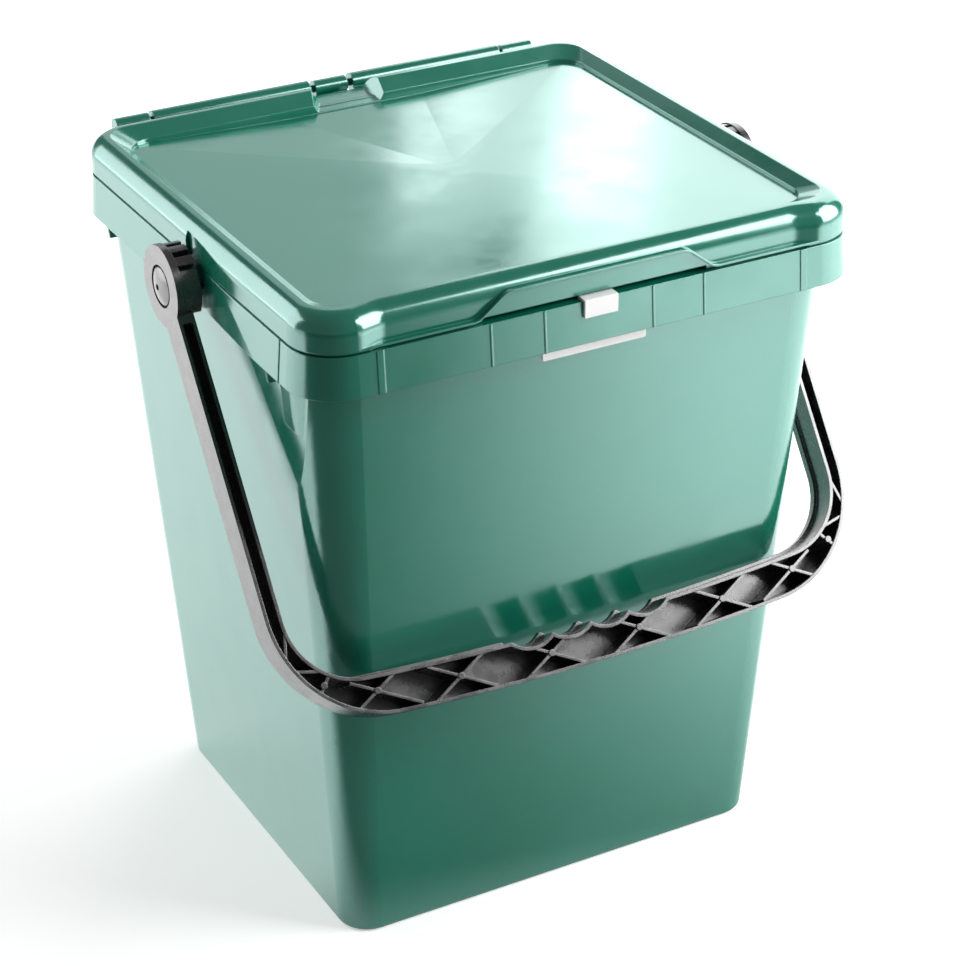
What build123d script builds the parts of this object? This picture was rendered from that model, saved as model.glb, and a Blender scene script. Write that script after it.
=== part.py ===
from build123d import *
import math
import os

# A stackable kitchen bin of about 21 litres: tub, hinged lid, carrying handle and tag clip.
# Millimetres. The origin is the middle of the underside, +Z is up, -Y is the front
# with the finger recess, and +Y is the back with the lid hinge.

# Tub
base_width = 245.0
base_depth = 212.6
base_corner_radius = 17.0
base_edge_radius = 2.5
mouth_width = 292.9
mouth_depth = 256.7
mouth_corner_radius = 26.0
tub_height = 348.6
wall = 2.2
floor_thickness = 2.6

# Rim skirt, which flares a little towards its lower edge
rim_overhang_x = 3.55
rim_overhang_y = 10.65
rim_corner_radius = 24.0
skirt_drop = 21.1
skirt_flare = 1.7
skirt_wall = 2.0
flange_thickness = 2.2
rib_thickness = 1.6
middle_rib_places = [29.5, 58.0]
end_rib_inset = 35.0
witness_proud = 0.35
witness_width = 1.0
wide_witness_width = 3.6
side_witness_inset = 32.0
front_gusset_inset = 52.0
rear_gusset_inset = 32.0
gusset_thickness = 2.0
gusset_drop = 9.5
gusset_taper = 1.2

# Relief at the two front corners, under the rim, with its places measured back from the mouth's edge
relief_top_back = 67.35
relief_top_drop = 32.6
relief_low_back = 18.35
relief_low_drop = 91.6
relief_depth = 4.0
relief_depth_back = 13.35
relief_depth_drop = 28.6
collar_height = 51.6
collar_inset = 0.8
collar_back = 37.35
collar_side = 32.45

# Lid
lid_gap = 0.3
lid_height = 19.1
lid_wall = 2.2
lid_edge_radius = 10.0
crest_width = 0.4
border_width_x = 17.2
border_width_y = 22.5
panel_corner_radius = 14.0
panel_drop = 6.0
ledge_height = 1.8
ledge_run = 0.3
panel_crown = 1.4
crown_width = 12.0
crown_depth = 10.0
valley_depth = 2.7
valley_floor_half = 40.0
valley_start = 10.0
border_roof = 3.5
slope_backing = 1.7
rib_drop = 4.0
rib_clearance = 1.0

# Lip along the lid's front, which arches up over the place for the fingers
front_setback = 3.0
setback_inset = 26.0
setback_ramp = 12.0
setback_bend_ease = 3.0
joint_gap = 1.3
joint_gap_depth = 1.2
lip_thickness = 1.1
arch_drop = 5.2
arch_half_width = 64.0
arch_shoulder = 15.0
arch_bend_radius = 8.5
arch_wall = 4.0
finger_gap = 1.9
finger_gap_half_width = 61.0

# Notch at the middle of the lid's rear border
notch_half_width = 15.3
notch_flare = 7.7
notch_lean = 4.7
notch_step = 2.0

# Lid hinge
hinge_reach = 9.5
hinge_rise = 11.9
barrel_radius = 4.5
lid_barrel_radius = 5.0
centre_knuckle_half = 9.5
centre_knuckle_gap = 3.1
outer_knuckle_inset = 25.0
outer_knuckle_length = 19.0
outer_knuckle_gap = 2.0
lug_thickness = 4.0
lug_foot_drop = 2.6
lug_foot_reach = 2.5
web_thickness = 3.0
web_drop = 4.5
pin_radius = 2.0
pin_clearance = 0.06
pin_end_cover = 1.5

# Handle pivot
pivot_y = -4.0
pivot_drop = 10.6
spigot_radius = 7.0
spigot_clearance = 0.06
skirt_clearance = 0.6
drum_length = 9.1
drum_radius = 15.0
tooth_height = 5.0
eye_radius = 20.6
cap_radius = 9.5
cap_groove = 1.3
cap_recess = 2.5
cap_height = 2.0
cap_dome = 2.0
cap_dimple_radius = 1.6
cap_dimple_depth = 1.5
stud_radius = 3.0
stud_length = 12.0
moving_gap = 0.3

# Bail handle: a channel with ribs, open on the side that faces forward at rest
arm_offset = 4.3
arm_width = 8.6
grip_reach = 233.0
grip_depth = 20.5
grip_bow_radius = 1600.0
outer_bend_radius = 60.0
inner_bend_radius = 36.0
channel_front = 10.0
channel_back = 8.0
channel_floor = 2.5
bail_wall = 1.8
bead_proud = 1.6
bead_thickness = 4.0
arm_start = 14.0
pocket_start = 22.0
groove_pitch = 22.0
groove_depth = 4.2
groove_count = 4
truss_shares = [0.1616, 0.4821, 0.7644]
truss_drops = [10.7, 12.5, 17.1]
truss_half_spread = 17.0
rib_width = 1.5
rib_pin_radius = 1.7
rib_recess = 0.4

# Tag clip on the front rim
clip_thickness = 1.5
clip_drop = 27.8
clip_set_back = 1.4
clip_corner_radius = 1.2
hook_half_width = 9.0
hook_drop = 7.6
slot_clearance = 0.5

# The hub's scoop in the skirt and the lid's side
scoop_depth = 2.6
scoop_rise = 14.4
scoop_top_inset = 0.35
scoop_top_y = 33.7
scoop_low_y = 81.0
scoop_depth_y = 20.0
scoop_depth_drop = 18.6
scoop_end_y = 2.0
scoop_backing = 3.0

# Places worked out from the sizes above
rim_width = mouth_width + 2 * rim_overhang_x
rim_depth = mouth_depth + 2 * rim_overhang_y
rim_bottom = tub_height - skirt_drop
front_rib_places = middle_rib_places + [rim_width / 2 - end_rib_inset]
gusset_places = [front_gusset_inset - rim_depth / 2, rim_depth / 2 - rear_gusset_inset]
lid_bottom = tub_height + lid_gap
lid_top = lid_bottom + lid_height
panel_level = lid_top - panel_drop
panel_width = rim_width - 2 * border_width_x
panel_depth = rim_depth - 2 * border_width_y
ceiling = panel_level - lid_wall
notch_floor = panel_level - notch_step
scoop_top = tub_height + scoop_rise
setback_half_width = rim_width / 2 - setback_inset
setback_bend_radius = lid_edge_radius + setback_bend_ease
hinge_y = rim_depth / 2 + hinge_reach
hinge_z = tub_height + hinge_rise
outer_knuckle_end = rim_width / 2 - outer_knuckle_inset
outer_knuckle_start = outer_knuckle_end - outer_knuckle_length
long_knuckle_start = centre_knuckle_half + centre_knuckle_gap
long_knuckle_end = outer_knuckle_start - outer_knuckle_gap
pivot_z = tub_height - pivot_drop
drum_start = rim_width / 2 + skirt_flare + skirt_clearance
eye_start = drum_start + drum_length
arm_inside = drum_start + arm_offset
truss_places = [arm_inside * share for share in truss_shares]
eye_face = arm_inside + arm_width
cap_seat = eye_face - cap_recess + moving_gap
front_slope = (mouth_depth - base_depth) / 2 / tub_height
clip_half_width = front_rib_places[0] - rib_thickness / 2 - moving_gap


def block(x0, x1, y0, y1, z0, z1):
    middle = Pos((x0 + x1) / 2, (y0 + y1) / 2, (z0 + z1) / 2)
    return middle * Box(abs(x1 - x0), abs(y1 - y0), abs(z1 - z0))


def rounded(width, depth, radius, z, y_shift=0.0):
    return Pos(0, y_shift, z) * RectangleRounded(width, depth, radius)


def tub_section(z, inset):
    share = z / tub_height
    width = base_width + (mouth_width - base_width) * share - 2 * inset
    depth = base_depth + (mouth_depth - base_depth) * share - 2 * inset
    radius = base_corner_radius + (mouth_corner_radius - base_corner_radius) * share - inset
    return rounded(width, depth, radius, z)


def tub_block(z0, z1, inset):
    return loft([tub_section(z0, inset), tub_section(z1, inset)], ruled=True)


def side_x(z):
    return (base_width + (mouth_width - base_width) * z / tub_height) / 2


def front_y(z):
    return -(base_depth + (mouth_depth - base_depth) * z / tub_height) / 2


def rim_block(z0, z1, grow):
    sections = []
    for z in (z0, z1):
        out = grow + skirt_flare * (tub_height - z) / skirt_drop
        sections.append(rounded(rim_width + 2 * out, rim_depth + 2 * out, rim_corner_radius + out, z))
    return loft(sections, ruled=True)


def outside_plane(first, second, inside, margin=0.0):
    # everything on the outer side of the plane through three points, left half of the object
    p, q, r = Vector(*first), Vector(*second), Vector(*inside)
    normal = (q - p).cross(r - p).normalized()
    if normal.X > 0:
        normal = normal * -1
    plane = Plane(origin=p - normal * margin, x_dir=(q - p).normalized(), z_dir=normal)
    reach = rim_depth
    return plane * Pos(0, 0, reach / 4) * Box(2 * reach, 2 * reach, reach / 2)


def both_sides(shape):
    return shape + mirror(shape, about=Plane.YZ)


def x_cylinder(radius, x0, x1, y, z):
    turned = Pos((x0 + x1) / 2, y, z) * Rot(0, 90, 0)
    return turned * Cylinder(radius, abs(x1 - x0))


# Corner relief: a flat facet that sinks towards the front corner, with a collar under the rim
def corner_relief(margin):
    top_z = tub_height - relief_top_drop
    low_z = tub_height - relief_low_drop
    deep_z = tub_height - relief_depth_drop
    edge = -mouth_depth / 2
    first = (-side_x(top_z), edge + relief_top_back, top_z)
    second = (-side_x(low_z), edge + relief_low_back, low_z)
    deep = (-side_x(deep_z) + relief_depth, edge + relief_depth_back, deep_z)
    return outside_plane(first, second, deep, margin)


def relief_collar():
    z0 = tub_height - collar_height
    ring = tub_block(z0, tub_height, collar_inset)
    corner = block(-rim_width, collar_side - mouth_width / 2, -rim_depth, collar_back - mouth_depth / 2,
                   z0, tub_height)
    return ring & corner


# Scoop beside the handle hub, shared by the rim skirt and the lid's side wall
def hub_scoop():
    x_top = rim_width / 2
    x_low = x_top + skirt_flare
    deep_z = tub_height - scoop_depth_drop
    first = (-x_top + scoop_top_inset, -scoop_top_y, scoop_top)
    second = (-x_low, -scoop_low_y, rim_bottom)
    deep = (-x_low + scoop_depth, -scoop_depth_y, deep_z)
    half_space = outside_plane(first, second, deep)
    window = block(-rim_width, -base_width / 2, -rim_depth / 2, -scoop_end_y, rim_bottom - 1, scoop_top)
    return both_sides(half_space & window)


def tub_lug(x0, x1):
    foot_y = rim_depth / 2 + lug_foot_reach
    foot_z = tub_height - lug_foot_drop
    run = Vector(0, hinge_y - foot_y, hinge_z - foot_z)
    arm = Plane(origin=(0, foot_y, foot_z), x_dir=(1, 0, 0), z_dir=run.normalized())
    bar = arm * Pos((x0 + x1) / 2, 0, run.length / 2) * Box(x1 - x0, lug_thickness, run.length)
    foot = block(x0, x1, rim_depth / 2 - skirt_wall, foot_y + 1.6, foot_z - 5, foot_z + 0.6)
    return bar + foot + x_cylinder(barrel_radius, x0, x1, hinge_y, hinge_z)


def front_ribs():
    bars = []
    z0 = rim_bottom + 2
    z1 = tub_height - flange_thickness
    for x in front_rib_places:
        for side in (-1, 1):
            bars.append(block(side * x - rib_thickness / 2, side * x + rib_thickness / 2,
                              front_y(z0) + wall / 2, -rim_depth / 2 + skirt_wall / 2, z0, z1))
            bars.append(block(side * x - rib_thickness / 2, side * x + rib_thickness / 2,
                              -front_y(z0) - wall / 2, rim_depth / 2 - skirt_wall / 2, z0, z1))
    return bars


def gussets():
    z_top = tub_height - flange_thickness
    outer = rim_width / 2 - skirt_wall / 2
    inner = side_x(rim_bottom) - wall / 2
    plates = []
    for y in gusset_places:
        outline = Polyline((-inner, z_top), (-outer, z_top), (-outer, rim_bottom),
                           (-outer + gusset_taper, rim_bottom - gusset_drop),
                           (-inner, rim_bottom - gusset_drop), close=True)
        plate = Plane.XZ.offset(-y) * make_face(outline)
        plates.append(both_sides(extrude(plate, gusset_thickness / 2, both=True)))
    return plates


def witness_marks():
    proud = rim_block(rim_bottom, tub_height, witness_proud)
    marks = []
    for x in front_rib_places:
        width = wide_witness_width if x == front_rib_places[-1] else witness_width
        for side in (-1, 1):
            marks.append(block(side * x - width / 2, side * x + width / 2,
                               -rim_depth, -rim_depth / 2 + skirt_wall / 2, rim_bottom, tub_height))
    for side in (-1, 1):
        y = side_witness_inset - rim_depth / 2
        marks.append(block(side * (rim_width / 2 - skirt_wall / 2), side * rim_width,
                           y - witness_width / 2, y + witness_width / 2, rim_bottom, tub_height))
    return [proud & mark for mark in marks]


def make_tub():
    outer = tub_block(0, tub_height, 0)
    outer = fillet(outer.faces().sort_by(Axis.Z)[0].edges(), base_edge_radius)
    outer = outer - both_sides(corner_relief(0)) + both_sides(relief_collar())
    cavity = tub_block(floor_thickness, tub_height + 1, wall)
    below_collar = block(-rim_width, 0, -rim_depth, 0, 0, tub_height - collar_height + wall)
    cavity = cavity - both_sides(corner_relief(wall) & below_collar)

    flange_bottom = tub_height - flange_thickness
    skirt = rim_block(rim_bottom, tub_height, 0) - rim_block(rim_bottom - 1, flange_bottom, -skirt_wall)
    boss_fill = block(-rim_width, rim_width, -scoop_low_y, eye_radius, rim_bottom, tub_height)
    hub_fill = rim_block(rim_bottom, tub_height, 0) & boss_fill

    tub = outer + skirt + hub_fill
    for piece in front_ribs() + gussets():
        tub = tub + piece
    for mark in witness_marks():
        tub = tub + mark
    tub = tub - hub_scoop()
    spigot_start = rim_width / 2 - wall
    tub = tub + both_sides(x_cylinder(spigot_radius, -spigot_start, -cap_seat, pivot_y, pivot_z))
    for x0, x1 in ((-outer_knuckle_end, -outer_knuckle_start), (-centre_knuckle_half, centre_knuckle_half),
                   (outer_knuckle_start, outer_knuckle_end)):
        tub = tub + tub_lug(x0, x1)
    tub = tub - cavity

    stud_bore = x_cylinder(stud_radius, -cap_seat, -(cap_seat - stud_length), pivot_y, pivot_z)
    tub = tub - both_sides(stud_bore)
    pin_bore = x_cylinder(pin_radius, -outer_knuckle_end + pin_end_cover, -pin_end_cover, hinge_y, hinge_z)
    tub = tub - both_sides(pin_bore)
    slot_x = hook_half_width + slot_clearance
    clip_back = clip_front_y() + clip_thickness
    slot = block(-slot_x, slot_x, clip_front_y() - slot_clearance, clip_back + slot_clearance,
                 flange_bottom - 1, tub_height + 1)
    return tub - slot


# Area under the lip's line in the lid's front, seen along Y, with the arch over the fingers' place
def arch_area(drop):
    low = lid_bottom + joint_gap + lip_thickness - drop
    high = lid_top - arch_drop - drop
    foot = lid_bottom - lip_thickness
    side = setback_half_width + 1
    top = arch_half_width - arch_shoulder
    line = Polyline((-side, foot), (-side, low), (-arch_half_width, low), (-top, high), (top, high),
                    (arch_half_width, low), (side, low), (side, foot), close=True)
    area = make_face(line)
    bends = [v for v in area.vertices() if abs(v.X) < setback_half_width]
    return fillet(bends, arch_bend_radius)


def along_front(area, y0, y1):
    placed = Plane.XZ.offset(-y1) * area
    return extrude(placed, y1 - y0)


# Outline of the lid from above: the front is set back between two ramps near the corners
def lid_outline():
    front = -rim_depth / 2
    inner = setback_half_width - setback_ramp
    back = front + front_setback
    outer = setback_half_width
    cut = Polyline((-outer, front), (-inner, back), (inner, back), (outer, front),
                   (outer, front - 1), (-outer, front - 1), close=True)
    outline = rounded(rim_width, rim_depth, rim_corner_radius, 0) - make_face(cut)
    bends = [v for v in outline.vertices() if v.Y < back + 0.1 and abs(v.X) < outer + 0.1]
    return fillet(bends, setback_bend_radius)


# Outline of the lid, seen from above, at a distance in from its side, rear and set-back front walls
def inset_outline(inset, z):
    return rounded(rim_width - 2 * inset, rim_depth - front_setback - 2 * inset,
                   rim_corner_radius - inset, z, front_setback / 2)


# Recess in the lid: a panel with a shallow four-sided crown, a short ledge, and slopes up to the crest
def panel_recess():
    panel = rounded(panel_width, panel_depth, panel_corner_radius, panel_level)
    ledge = rounded(panel_width + 2 * ledge_run, panel_depth + 2 * ledge_run,
                    panel_corner_radius + ledge_run, panel_level + ledge_height)
    crest = inset_outline(lid_edge_radius + crest_width, lid_top)
    recess = loft([panel, ledge, crest], ruled=True)
    crown = loft([panel, rounded(crown_width, crown_depth, crown_depth / 8, panel_level + panel_crown)],
                 ruled=True)
    return recess - crown


# Shallow valley that lets the panel fall towards the notch at the back
def panel_valley(margin):
    sections = []
    for y, half_top, half_floor, floor in (
            (valley_start - margin, crown_width / 2, crown_width / 4, panel_level + panel_crown),
            (panel_depth / 2 + margin, panel_width / 2, valley_floor_half, panel_level - valley_depth)):
        top = lid_top + panel_drop
        shoulder = max(floor, panel_level) - margin
        half_top = half_top + margin
        line = Polyline((-half_top, top), (-half_top, shoulder), (-half_floor, floor - margin),
                        (half_floor, floor - margin), (half_top, shoulder), (half_top, top), close=True)
        sections.append(Plane.XZ.offset(-y) * make_face(line))
    return loft(sections, ruled=True)


# Notch through the rear border, wider at the top, with its left end turning out into the panel
def rear_notch():
    front = panel_depth / 2 - 2
    back = rim_depth / 2 + 1
    turn = panel_depth / 2 + (back - panel_depth / 2) / 2
    sections = []
    for z in (notch_floor, lid_top + 1):
        half = notch_half_width + notch_lean * (z - notch_floor) / (lid_top - notch_floor)
        line = Polyline((-half - notch_flare, front), (-half, turn), (-half, back), (half, back),
                        (half, front), close=True)
        sections.append(Pos(0, 0, z) * make_face(line))
    return loft(sections, ruled=True)


def make_lid():
    height = lid_top - lid_bottom
    lid = extrude(Pos(0, 0, lid_bottom) * lid_outline(), height)
    lid = fillet(lid.faces().sort_by(Axis.Z)[-1].edges(), lid_edge_radius)
    panel_room = extrude(rounded(panel_width, panel_depth, panel_corner_radius, lid_bottom), height)
    lid = lid - panel_recess() - (panel_valley(0) & panel_room) - rear_notch()

    # hollow underside: one space under the panel, and a higher one under the border
    under_panel = extrude(inset_outline(lid_wall, lid_bottom - 1), ceiling - lid_bottom + 1)
    border_inset = lid_wall + lid_edge_radius / 3
    under_border = extrude(inset_outline(border_inset, ceiling - 0.1), lid_top - border_roof - ceiling + 0.1)
    crest_inset = lid_edge_radius + crest_width + slope_backing
    under_border = under_border - extrude(inset_outline(crest_inset, ceiling - 0.1), lid_top)
    arch_back = -rim_depth / 2 + front_setback + arch_wall
    arch_room = block(-arch_half_width, arch_half_width, -rim_depth, arch_back, lid_bottom - 2, lid_top)
    scoop_room = both_sides(block(-rim_width, -rim_width / 2 + lid_wall + scoop_backing,
                                  -scoop_low_y / 2 - lid_wall, scoop_end_y,
                                  lid_bottom - 2, lid_top))
    notch_side = notch_half_width + notch_flare + notch_lean + lid_wall
    notch_room = block(-notch_side, notch_side, panel_depth / 2 - lid_wall, rim_depth,
                       notch_floor - lid_wall, lid_top)
    kept = arch_room + scoop_room + notch_room
    lid = lid - (under_panel - kept - panel_valley(lid_wall)) - (under_border - kept)

    # lip along the front, with a straight wall under its arch and a gap below for the fingers and the clip
    lip_front = -rim_depth / 2
    lip_root = lip_front + front_setback + lid_wall / 2
    middle = Pos(0, lid_bottom) * Rectangle(2 * arch_half_width, 4 * lid_height)
    lip = along_front(arch_area(0) - arch_area(lip_thickness), lip_front, lip_root)
    lip = lip & block(-setback_half_width, setback_half_width, -rim_depth, 0, lid_bottom, lid_top)
    arch = along_front((arch_area(0) - arch_area(lip_thickness)) & middle, lip_front, arch_back)
    under_arch = along_front(arch_area(lip_thickness) & middle, lip_front + front_setback, arch_back)
    lid = lid + lip + arch + (under_arch & block(-rim_width, rim_width, -rim_depth, 0, lid_bottom, lid_top))
    lid = lid - block(-finger_gap_half_width, finger_gap_half_width, lip_front - 1, arch_back + 1,
                      lid_bottom - 1, lid_bottom + finger_gap)

    # rebate along the lower edge, which shows as a dark joint above the rim
    joint = rounded(rim_width + 2, rim_depth + 2, rim_corner_radius + 1, lid_bottom)
    joint = joint - rounded(rim_width - 2 * joint_gap_depth, rim_depth - 2 * joint_gap_depth,
                            rim_corner_radius - joint_gap_depth, lid_bottom)
    lid = lid - extrude(joint, joint_gap)

    # locating rib that stands inside the tub's mouth, left out across the finger recess
    rib_foot = tub_height - rib_drop
    rib_inset = wall + rib_clearance
    rib_outer = rounded(mouth_width - 2 * rib_inset, mouth_depth - 2 * rib_inset,
                        mouth_corner_radius - rib_inset, rib_foot)
    rib_inset = rib_inset + wall
    rib_inner = rounded(mouth_width - 2 * rib_inset, mouth_depth - 2 * rib_inset,
                        mouth_corner_radius - rib_inset, rib_foot)
    rib = extrude(rib_outer - rib_inner, ceiling + 0.5 - rib_foot)
    rib = rib - block(-arch_half_width - 8, arch_half_width + 8, -rim_depth, 0, 0, lid_top)
    lid = lid + rib
    lid = lid - hub_scoop()

    # hinge knuckles on webs behind the rear wall
    web_z = hinge_z - web_drop
    knuckle = x_cylinder(lid_barrel_radius, -long_knuckle_end, -long_knuckle_start, hinge_y, hinge_z)
    web = block(-long_knuckle_end, -long_knuckle_start, rim_depth / 2 - lid_wall, hinge_y,
                web_z, web_z + web_thickness)
    lid = lid + both_sides(knuckle + web)
    bore = x_cylinder(pin_radius + pin_clearance, -long_knuckle_end - 1, -long_knuckle_start + 1,
                      hinge_y, hinge_z)
    return lid - both_sides(bore)


# Handle. Its own plane holds the pivot axis: x is the object's X, y runs from the pivot to the grip,
# and z points back towards the tub.
def contact_angle(reach, offset, hub_distance):
    # angle from straight down at which a point of the handle meets a wall of the tub
    radius = math.hypot(reach, offset)
    lean = math.atan(front_slope)
    lift = math.asin((hub_distance + moving_gap) / radius)
    return lift, lean, math.atan2(offset, reach)


def wall_distance(sign):
    # distance from the pivot axis to the front (-1) or rear (+1) wall plane
    gap = -front_y(pivot_z) - sign * pivot_y
    return gap * math.cos(math.atan(front_slope))


grip_inner = grip_reach - grip_depth
grip_sag = (arm_inside - inner_bend_radius) ** 2 / (2 * grip_bow_radius)
contact_reach = grip_inner - grip_sag
front_lift, wall_lean, back_turn = contact_angle(contact_reach - bead_proud, -channel_back, wall_distance(-1))
rest_angle = front_lift - wall_lean - back_turn
rear_lift, wall_lean, front_turn = contact_angle(contact_reach, channel_front, wall_distance(1))
swing = 2 * math.pi - rear_lift + wall_lean - rest_angle - front_turn

bail_plane = Plane(origin=(0, pivot_y, pivot_z), x_dir=(1, 0, 0),
                   z_dir=(0, math.cos(rest_angle), -math.sin(rest_angle)))


def bow_line(reach, half_width):
    sag = half_width ** 2 / (2 * grip_bow_radius)
    return reach - sag


def bail_area(half_width, reach, bend, start):
    corner_y = bow_line(reach, half_width)
    outline = [Line((-half_width, start), (-half_width, corner_y)),
               ThreePointArc((-half_width, corner_y), (0, reach), (half_width, corner_y)),
               Line((half_width, corner_y), (half_width, start)),
               Line((half_width, start), (-half_width, start))]
    area = make_face(outline)
    corners = [v for v in area.vertices() if v.Y > start + 1]
    return fillet(corners, bend)


def groove_circles(grow):
    radius = ((groove_pitch / 2) ** 2 + groove_depth ** 2) / (2 * groove_depth)
    centre = grip_inner + groove_depth - radius
    circles = []
    for number in range(groove_count):
        x = (number - (groove_count - 1) / 2) * groove_pitch
        circles.append(Pos(x, centre) * Circle(radius + grow))
    return circles


def bail_band(inset, inner_grow, start):
    outer = bail_area(arm_inside + arm_width - inset, grip_reach - inset, outer_bend_radius - inset, start)
    inner = bail_area(arm_inside + inner_grow, grip_inner + inner_grow,
                      inner_bend_radius + inner_grow, start - 1)
    band = outer - inner
    for circle in groove_circles(inner_grow):
        band = band - circle
    return band


def rib_bar(x0, y0, x1, y1):
    length = math.hypot(x1 - x0, y1 - y0)
    angle = math.degrees(math.atan2(y1 - y0, x1 - x0))
    z0 = -channel_front + rib_recess
    z1 = channel_back - channel_floor / 2
    place = Pos((x0 + x1) / 2, (y0 + y1) / 2, (z0 + z1) / 2) * Rot(0, 0, angle)
    return place * Box(length, rib_width, z1 - z0)


def rib_pin(x, y):
    z0 = -channel_front - rib_recess / 2
    z1 = channel_back - channel_floor / 2
    return Pos(x, y, (z0 + z1) / 2) * Cylinder(rib_pin_radius, z1 - z0)


def grip_ribs():
    ribs = []
    inner_edge = grip_inner + bail_wall / 2
    outer_edge = grip_reach - bail_wall / 2
    for side in (-1, 1):
        for place, drop in zip(truss_places, truss_drops):
            x = side * place
            y = grip_reach - drop
            sag = place ** 2 / (2 * grip_bow_radius)
            spread = truss_half_spread
            for lean in (-1, 1):
                up = inner_edge - sag - y
                down = outer_edge - sag - y
                run = lean * spread * 2 / (outer_edge - inner_edge)
                ribs.append(rib_bar(x + run * up, y + up, x + run * down, y + down))
            ribs.append(rib_pin(x, y))
    return ribs


def corner_ribs():
    outer = arm_inside + arm_width
    base = grip_reach - outer_bend_radius
    ribs = []
    for side in (-1, 1):
        for x0, y0, x1, y1 in ((outer - 23.5, base + 29.5, outer - 15.5, base + 39),
                               (outer - 20, base + 26.5, outer - 7.5, base + 23.5),
                               (outer - 8, base + 4, outer - 4.5, base + 18)):
            ribs.append(rib_bar(side * x0, y0, side * x1, y1))
        ribs.append(rib_pin(side * (outer - 19.7), base + 33.5))
    return ribs


def drum_teeth(x0, x1):
    # a crown of narrow teeth on top and one wide tooth in front, around the pivot axis
    radius = drum_radius + tooth_height
    teeth = []
    for middle, spread in ((104, 14), (80, 14), (55, 14), (7, 66)):
        steps = [middle - spread / 2, middle, middle + spread / 2]
        arc = [(-radius * math.cos(math.radians(a)), radius * math.sin(math.radians(a))) for a in steps]
        wedge = make_face([Line((0, 0), arc[0]), ThreePointArc(*arc), Line(arc[2], (0, 0))])
        placed = Plane(origin=(x0, pivot_y, pivot_z), x_dir=(0, 1, 0), z_dir=(1, 0, 0)) * wedge
        teeth.append(extrude(placed, x1 - x0))
    return teeth


def make_bail():
    depth = channel_front + channel_back
    solid = extrude(Pos(0, 0, -channel_front) * bail_band(0, 0, arm_start), depth)
    bead = extrude(Pos(0, 0, channel_back - bead_thickness) * bail_band(0, -bead_proud, arm_start),
                   bead_thickness)
    pocket_depth = depth - channel_floor
    pocket = extrude(Pos(0, 0, -channel_front) * bail_band(bail_wall, bail_wall, pocket_start), pocket_depth)
    channel = solid + bead - pocket
    frame = extrude(Pos(0, 0, -channel_front - 1) * bail_band(bail_wall / 2, bail_wall / 2, arm_start),
                    depth + 1)
    for rib in grip_ribs() + corner_ribs():
        channel = channel + (rib & frame)
    bail = bail_plane * channel

    eye = x_cylinder(eye_radius, eye_start, eye_face, pivot_y, pivot_z)
    drum = x_cylinder(drum_radius, drum_start, eye_start + 0.5, pivot_y, pivot_z)
    hub = eye + drum
    for tooth in drum_teeth(drum_start, eye_start + 0.5):
        hub = hub + tooth
    bail = bail + both_sides(hub)
    bore = x_cylinder(spigot_radius + spigot_clearance, drum_start - 1, eye_face + 1, pivot_y, pivot_z)
    recess = x_cylinder(cap_radius + cap_groove, eye_face - cap_recess, eye_face + 5, pivot_y, pivot_z)
    return bail - both_sides(bore + recess)


# Pivot stud: one turned piece, a domed cap with a dimple on a shank pressed into the tub's spigot
def make_stud(side):
    dome_radius = (cap_radius ** 2 + cap_dome ** 2) / (2 * cap_dome)
    half_angle = math.asin(cap_radius / dome_radius) / 2
    rim_x = cap_seat + cap_height
    tip_x = rim_x + cap_dome
    dome_middle = (tip_x - dome_radius * (1 - math.cos(half_angle)), dome_radius * math.sin(half_angle))
    inner_end = cap_seat - stud_length
    outline = Polyline((tip_x, 0), (inner_end, 0), (inner_end, stud_radius), (cap_seat, stud_radius),
                       (cap_seat, cap_radius), (rim_x, cap_radius))
    profile = make_face([outline, ThreePointArc((rim_x, cap_radius), dome_middle, (tip_x, 0))])
    stud = Pos(0, pivot_y, pivot_z) * revolve(profile, Axis.X)
    stud = stud - x_cylinder(cap_dimple_radius, tip_x - cap_dimple_depth, tip_x + 1, pivot_y, pivot_z)
    return stud if side > 0 else mirror(stud, about=Plane.YZ)


def make_pin(side):
    pin = x_cylinder(pin_radius, pin_end_cover, outer_knuckle_end - pin_end_cover, hinge_y, hinge_z)
    return pin if side > 0 else mirror(pin, about=Plane.YZ)


# Tag clip: a plate in the hollow of the front rim, with a hook folded over the rim's edge
def clip_front_y():
    return -rim_depth / 2 + skirt_wall + clip_set_back


def make_clip():
    front = clip_front_y()
    top = tub_height + clip_thickness
    under_flange = tub_height - flange_thickness - moving_gap
    plate_line = Pos(0, (tub_height - clip_drop + under_flange) / 2) * RectangleRounded(
        2 * clip_half_width, under_flange - tub_height + clip_drop, clip_corner_radius)
    plate = along_front(plate_line, front, front + clip_thickness)
    neck = block(-hook_half_width, hook_half_width, front, front + clip_thickness, under_flange - 1, top)
    skirt_face = -rim_depth / 2 - skirt_flare * hook_drop / skirt_drop
    hook_front = skirt_face - moving_gap - clip_thickness
    bridge = block(-hook_half_width, hook_half_width, hook_front, front + clip_thickness, tub_height, top)
    tab = block(-hook_half_width, hook_half_width, hook_front, hook_front + clip_thickness,
                tub_height - hook_drop, top)
    clip = plate + neck + bridge + tab
    outer_edges = clip.edges().filter_by(Axis.X).filter_by(lambda e: e.center().Z > top - 0.01)
    return fillet(outer_edges, clip_thickness / 2)


def save(shape, name):
    export_step(shape, "parts/" + name + ".step")
    print(name, "solids", len(shape.solids()), "volume", round(shape.volume / 1000, 2), "cm3")


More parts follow.
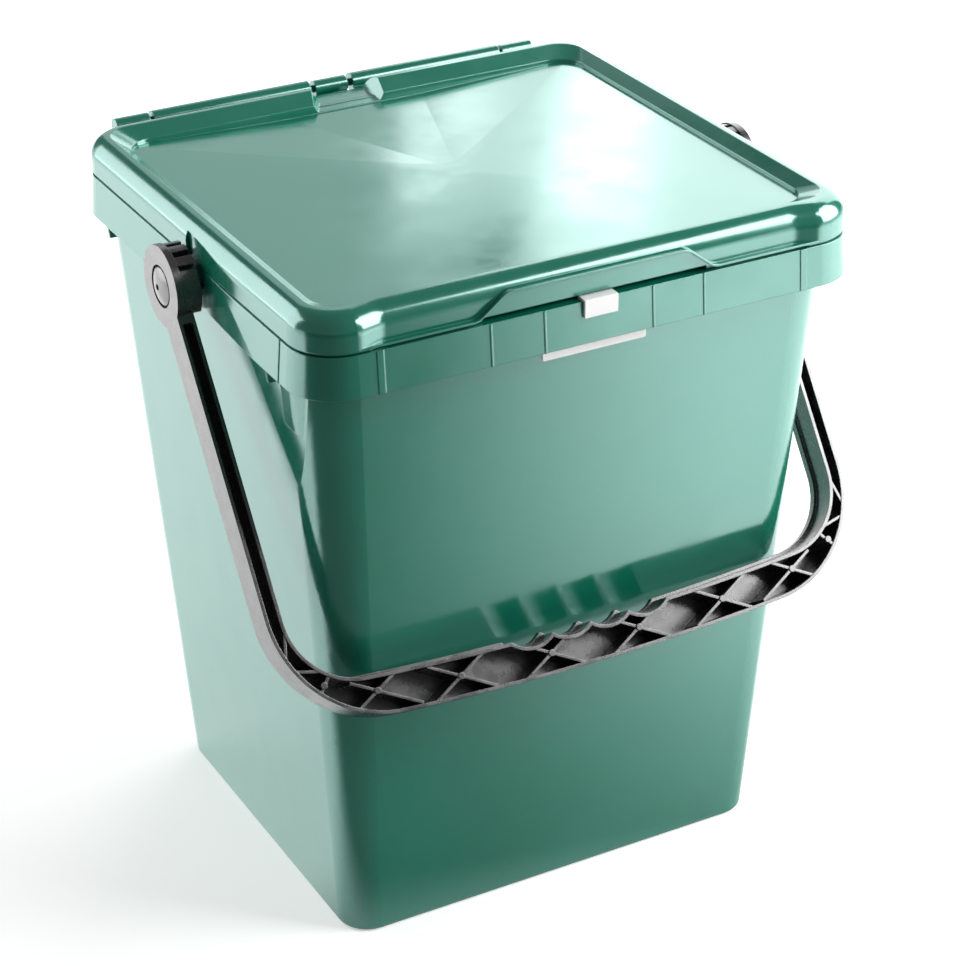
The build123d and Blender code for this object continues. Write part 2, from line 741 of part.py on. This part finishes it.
os.makedirs("parts", exist_ok=True)
save(make_tub(), "tub")
save(make_lid(), "lid")
save(make_bail(), "bail_handle")
save(make_stud(-1), "left_pivot_stud")
save(make_stud(1), "right_pivot_stud")
save(make_pin(-1), "left_hinge_pin")
save(make_pin(1), "right_hinge_pin")
save(make_clip(), "tag_clip")
print("hinge axis y z", round(hinge_y, 3), round(hinge_z, 3))
print("pivot axis y z", round(pivot_y, 3), round(pivot_z, 3))
print("handle rest angle", round(math.degrees(rest_angle), 2), "swing", round(math.degrees(swing), 2))
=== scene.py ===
import math

import bpy
from mathutils import Matrix, Vector

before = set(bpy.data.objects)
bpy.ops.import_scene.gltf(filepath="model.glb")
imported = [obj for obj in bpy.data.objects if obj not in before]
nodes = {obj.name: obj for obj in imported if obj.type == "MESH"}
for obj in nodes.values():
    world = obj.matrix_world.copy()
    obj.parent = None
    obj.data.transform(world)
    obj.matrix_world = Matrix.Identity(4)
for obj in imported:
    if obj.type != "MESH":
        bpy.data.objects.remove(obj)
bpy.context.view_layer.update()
scene = bpy.context.scene

# Camera, worked out from the photograph's straight edges, in metres and degrees
CAMERA_PLACE = (-0.6289, -1.1792, 0.9054)
CAMERA_AZIMUTH = -28.43
CAMERA_DOWN = 28.33
CAMERA_ROLL = -0.41
LENS_MM = 106.23
SENSOR_MM = 36.0
VIEW_END = 20.0

# Colours as linear values
GREEN = (0.003, 0.14, 0.084)
GREEN_LIGHT = (0.004, 0.155, 0.095)
GREEN_SHINE = (0.68, 1.0, 0.96)
BLACK = (0.012, 0.012, 0.0125)
WHITE = (0.9, 0.9, 0.895)
FLOOR = (0.86, 0.86, 0.86)
BRIGHT = (1, 1, 1)
DARK = (0, 0, 0)

# Skins: rounding of the edges and height of the grain, in metres
GREEN_EDGE = 0.0008
BLACK_EDGE = 0.0005
CLIP_EDGE = 0.0004
GRAIN_HEIGHT = 0.0002

# Part of the noise's range over which the roughness and the green drift
ROUGHNESS_DRIFT = (0.3, 0.7)
GREEN_DRIFT = (0.35, 0.65)

# Specular level of the glossy plastics, where 0.5 is plain
STRONG_SPECULAR = 1.0

# Floor, half its side in metres, and how much it glows to the camera
FLOOR_HALF = 6.0
CAMERA_GLOW = 0.4

# Floor as the plastic mirrors it, with painted light and painted shade that only reflections see:
# painted glow at the back and at the front right, a painted shadow in front of the left corner
# and, less, close to the foot; in metres from the bin's middle
FRONT_SLANT = 0.46
PAINTED_SHADE_FRONT_FADE = (-0.2, 0.15)
PAINTED_SHADE_BACK_FADE = (-0.15, -0.03)
PAINTED_SHADE_FOOT_FADE = (0.12, 0.45)
PAINTED_SHADE_FOOT_LEAST = 0.3
PAINTED_SHADE_DEPTH = 0.85

# Lamps aimed at the bin: name, place, width and height in metres, power in watts
LAMP_AIM = (0, 0, 0.2)
LAMPS = (
    ("back_left", (-1.0, 0.95, 0.72), 1.25, 1.3, 16.0),
    ("back_middle", (0.33, 1.25, 0.7), 0.6, 1.2, 1.7),
    ("back_low", (0.66, 1.1, 0.62), 0.26, 0.65, 1.2),
    ("back_right", (1.06, 0.76, 0.74), 1.0, 1.2, 11.0),
    ("front_right", (1.2, -0.68, 0.95), 1.3, 1.4, 41.0),
)
WORLD_STRENGTH = 0.15


def scaled(colour, factor):
    return tuple(factor * channel for channel in colour)


class Graph:
    """A material's node tree, with short calls to add nodes and links."""

    def __init__(self, name):
        self.material = bpy.data.materials.new(name)
        self.material.use_nodes = True
        self.tree = self.material.node_tree
        self.tree.nodes.clear()
        self.output = self.add("ShaderNodeOutputMaterial")
        self.place = self.add("ShaderNodeTexCoord").outputs["Object"]

    def add(self, kind, **values):
        node = self.tree.nodes.new(kind)
        for key, value in values.items():
            setattr(node, key, value)
        return node

    def link(self, start, end):
        self.tree.links.new(start, end)

    def math(self, operation, first, second):
        """Works on two values, each a number or a node's output."""
        node = self.add("ShaderNodeMath", operation=operation)
        for socket, value in zip(node.inputs, (first, second)):
            if isinstance(value, (int, float)):
                socket.default_value = value
            else:
                self.link(value, socket)
        return node.outputs[0]

    def length(self, vector):
        node = self.add("ShaderNodeVectorMath", operation="LENGTH")
        self.link(vector, node.inputs[0])
        return node.outputs["Value"]

    def noise(self, scale, detail):
        node = self.add("ShaderNodeTexNoise")
        node.inputs["Scale"].default_value = scale
        node.inputs["Detail"].default_value = detail
        self.link(self.place, node.inputs["Vector"])
        return node.outputs["Fac"]

    def ramp(self, value, low, high, start=0.0, end=1.0):
        """Goes smoothly from start to end while the value goes from low to high."""
        node = self.add("ShaderNodeMapRange")
        node.interpolation_type = "SMOOTHSTEP"
        node.inputs["From Min"].default_value = low
        node.inputs["From Max"].default_value = high
        node.inputs["To Min"].default_value = start
        node.inputs["To Max"].default_value = end
        self.link(value, node.inputs["Value"])
        return node.outputs["Result"]

    def mix_colour(self, factor, first, second):
        """Goes from the first colour, which may be a node's output, to the second."""
        node = self.add("ShaderNodeMix", data_type="RGBA")
        self.link(factor, node.inputs["Factor"])
        if isinstance(first, tuple):
            node.inputs["A"].default_value = (*first, 1)
        else:
            self.link(first, node.inputs["A"])
        node.inputs["B"].default_value = (*second, 1)
        return node.outputs["Result"]

    def rounded_edges(self, radius):
        node = self.add("ShaderNodeBevel", samples=4)
        node.inputs["Radius"].default_value = radius
        return node.outputs["Normal"]

    def bump(self, height, strength, distance, normal):
        node = self.add("ShaderNodeBump")
        node.inputs["Strength"].default_value = strength
        node.inputs["Distance"].default_value = distance
        self.link(height, node.inputs["Height"])
        self.link(normal, node.inputs["Normal"])
        return node.outputs["Normal"]

    def finish(self, surface):
        self.link(surface, self.output.inputs["Surface"])
        return self.material


class Plastic(Graph):
    """A plastic whose colour and roughness drift a little over the piece.

    Each noise is given by its scale and its detail.
    """

    def __init__(self, name):
        super().__init__(name)
        self.shader = self.add("ShaderNodeBsdfPrincipled")

    def colour(self, factor, first, second):
        self.link(self.mix_colour(factor, first, second), self.shader.inputs["Base Color"])

    def roughness(self, noise, least, most):
        drift = self.ramp(self.noise(*noise), *ROUGHNESS_DRIFT, least, most)
        self.link(drift, self.shader.inputs["Roughness"])

    def gloss(self, ior):
        self.shader.inputs["Specular IOR Level"].default_value = STRONG_SPECULAR
        self.shader.inputs["IOR"].default_value = ior

    def skin(self, edge, grain, strength):
        """Softens the edges and lays a fine grain over them."""
        normal = self.bump(self.noise(*grain), strength, GRAIN_HEIGHT, self.rounded_edges(edge))
        self.link(normal, self.shader.inputs["Normal"])

    def finish(self):
        return super().finish(self.shader.outputs[0])


def bin_plastic():
    """Glossy dark green plastic with faint flow clouds."""
    plastic = Plastic("bin_green")
    clouds = plastic.ramp(plastic.noise(scale=9.0, detail=3.0), *GREEN_DRIFT)
    plastic.colour(clouds, GREEN, GREEN_LIGHT)
    plastic.roughness(noise=(38.0, 4.0), least=0.12, most=0.2)
    plastic.gloss(ior=1.9)
    plastic.shader.inputs["Specular Tint"].default_value = (*GREEN_SHINE, 1)
    plastic.skin(GREEN_EDGE, grain=(900.0, 2.0), strength=0.05)
    return plastic.finish()


def handle_plastic():
    """Satin black plastic."""
    plastic = Plastic("handle_black")
    plastic.colour(plastic.noise(scale=60.0, detail=3.0), BLACK, scaled(BLACK, 1.6))
    plastic.roughness(noise=(120.0, 4.0), least=0.22, most=0.32)
    plastic.gloss(ior=1.8)
    plastic.skin(BLACK_EDGE, grain=(1800.0, 2.0), strength=0.12)
    return plastic.finish()


def clip_plastic():
    """White plastic, slightly satin."""
    plastic = Plastic("clip_white")
    plastic.colour(plastic.noise(scale=80.0, detail=3.0), WHITE, scaled(WHITE, 0.96))
    plastic.roughness(noise=(150.0, 3.0), least=0.35, most=0.45)
    plastic.skin(CLIP_EDGE, grain=(1500.0, 2.0), strength=0.08)
    return plastic.finish()


def pin_plastic():
    """Dark green plastic of the hinge pins, without a skin because the hinge hides it."""
    plastic = Plastic("pin_green")
    plastic.colour(plastic.noise(scale=70.0, detail=2.0), GREEN, scaled(GREEN, 0.7))
    plastic.roughness(noise=(200.0, 3.0), least=0.3, most=0.4)
    return plastic.finish()


def painted_reflection_mask(graph):
    """1 where painted light brightens the floor in the plastic's reflections, less where painted
    shade darkens it.
    """
    axes = graph.add("ShaderNodeSeparateXYZ")
    graph.link(graph.place, axes.inputs[0])
    along_x = axes.outputs["X"]
    along_y = axes.outputs["Y"]
    across = graph.math("ADD", along_x, graph.math("MULTIPLY", along_y, FRONT_SLANT))
    from_foot = graph.ramp(graph.length(graph.place), *PAINTED_SHADE_FOOT_FADE, PAINTED_SHADE_FOOT_LEAST, 1.0)
    front = graph.math("MULTIPLY", graph.ramp(across, *PAINTED_SHADE_FRONT_FADE), from_foot)
    return graph.math("MAXIMUM", front, graph.ramp(along_y, *PAINTED_SHADE_BACK_FADE))


def floor_material():
    """Pale floor that glows white to the camera, and that the plastic's reflections see with
    painted light and painted shade.
    """
    graph = Graph("floor_white")
    rays = graph.add("ShaderNodeLightPath")
    in_gloss = rays.outputs["Is Glossy Ray"]
    painted_reflection_light = painted_reflection_mask(graph)

    # Painted shade: the floor's colour is darkened for reflections only, where the mask is closed
    painted_shade_amount = graph.math("SUBTRACT", PAINTED_SHADE_DEPTH, graph.math("MULTIPLY", painted_reflection_light, PAINTED_SHADE_DEPTH))
    painted_reflection_shade = graph.math("MULTIPLY", in_gloss, painted_shade_amount)
    paint = graph.mix_colour(graph.noise(scale=0.7, detail=1.0), FLOOR, scaled(FLOOR, 0.99))
    diffuse = graph.add("ShaderNodeBsdfDiffuse")
    graph.link(graph.mix_colour(painted_reflection_shade, paint, DARK), diffuse.inputs["Color"])

    to_camera = graph.math("MULTIPLY", rays.outputs["Is Camera Ray"], CAMERA_GLOW)
    # Painted light: the floor glows only to reflections, as far as the mask is open
    painted_reflection_glow = graph.math("MULTIPLY", in_gloss, painted_reflection_light)
    glow = graph.add("ShaderNodeEmission")
    glow.inputs["Color"].default_value = (*BRIGHT, 1)
    graph.link(graph.math("ADD", to_camera, painted_reflection_glow), glow.inputs["Strength"])

    both = graph.add("ShaderNodeAddShader")
    graph.link(diffuse.outputs[0], both.inputs[0])
    graph.link(glow.outputs[0], both.inputs[1])
    return graph.finish(both.outputs[0])


def make_camera():
    data = bpy.data.cameras.new("camera")
    data.lens = LENS_MM
    data.sensor_width = SENSOR_MM
    data.sensor_fit = "AUTO"
    data.clip_end = VIEW_END
    camera = bpy.data.objects.new("camera", data)
    scene.collection.objects.link(camera)
    turn = (Matrix.Rotation(math.radians(CAMERA_AZIMUTH), 4, "Z")
            @ Matrix.Rotation(math.radians(90 - CAMERA_DOWN), 4, "X")
            @ Matrix.Rotation(math.radians(CAMERA_ROLL), 4, "Z"))
    camera.matrix_world = Matrix.Translation(CAMERA_PLACE) @ turn
    scene.camera = camera


def make_floor():
    half = FLOOR_HALF
    corners = [(-half, -half, 0), (half, -half, 0), (half, half, 0), (-half, half, 0)]
    mesh = bpy.data.meshes.new("floor")
    mesh.from_pydata(corners, [], [(0, 1, 2, 3)])
    floor = bpy.data.objects.new("floor", mesh)
    scene.collection.objects.link(floor)
    mesh.materials.append(floor_material())


def area_light(name, place, width, height, power):
    data = bpy.data.lights.new(name, "AREA")
    data.shape = "RECTANGLE"
    data.size = width
    data.size_y = height
    data.energy = power
    light = bpy.data.objects.new(name, data)
    scene.collection.objects.link(light)
    light.location = place
    direction = Vector(LAMP_AIM) - Vector(place)
    light.rotation_euler = direction.to_track_quat("-Z", "Y").to_euler()
    light.visible_camera = False


def make_world():
    world = bpy.data.worlds.new("world")
    scene.world = world
    world.use_nodes = True
    background = world.node_tree.nodes["Background"]
    background.inputs["Color"].default_value = (*BRIGHT, 1)
    background.inputs["Strength"].default_value = WORLD_STRENGTH


def dress(material, *names):
    """Gives the named pieces of the model one material."""
    for name in names:
        for slot in nodes[name].material_slots:
            slot.material = material


make_camera()
make_floor()
for lamp in LAMPS:
    area_light(*lamp)
make_world()
dress(bin_plastic(), "tub", "lid")
dress(handle_plastic(), "bail_handle", "left_pivot_stud", "right_pivot_stud")
dress(pin_plastic(), "left_hinge_pin", "right_hinge_pin")
dress(clip_plastic(), "tag_clip")

scene.view_settings.view_transform = "Standard"
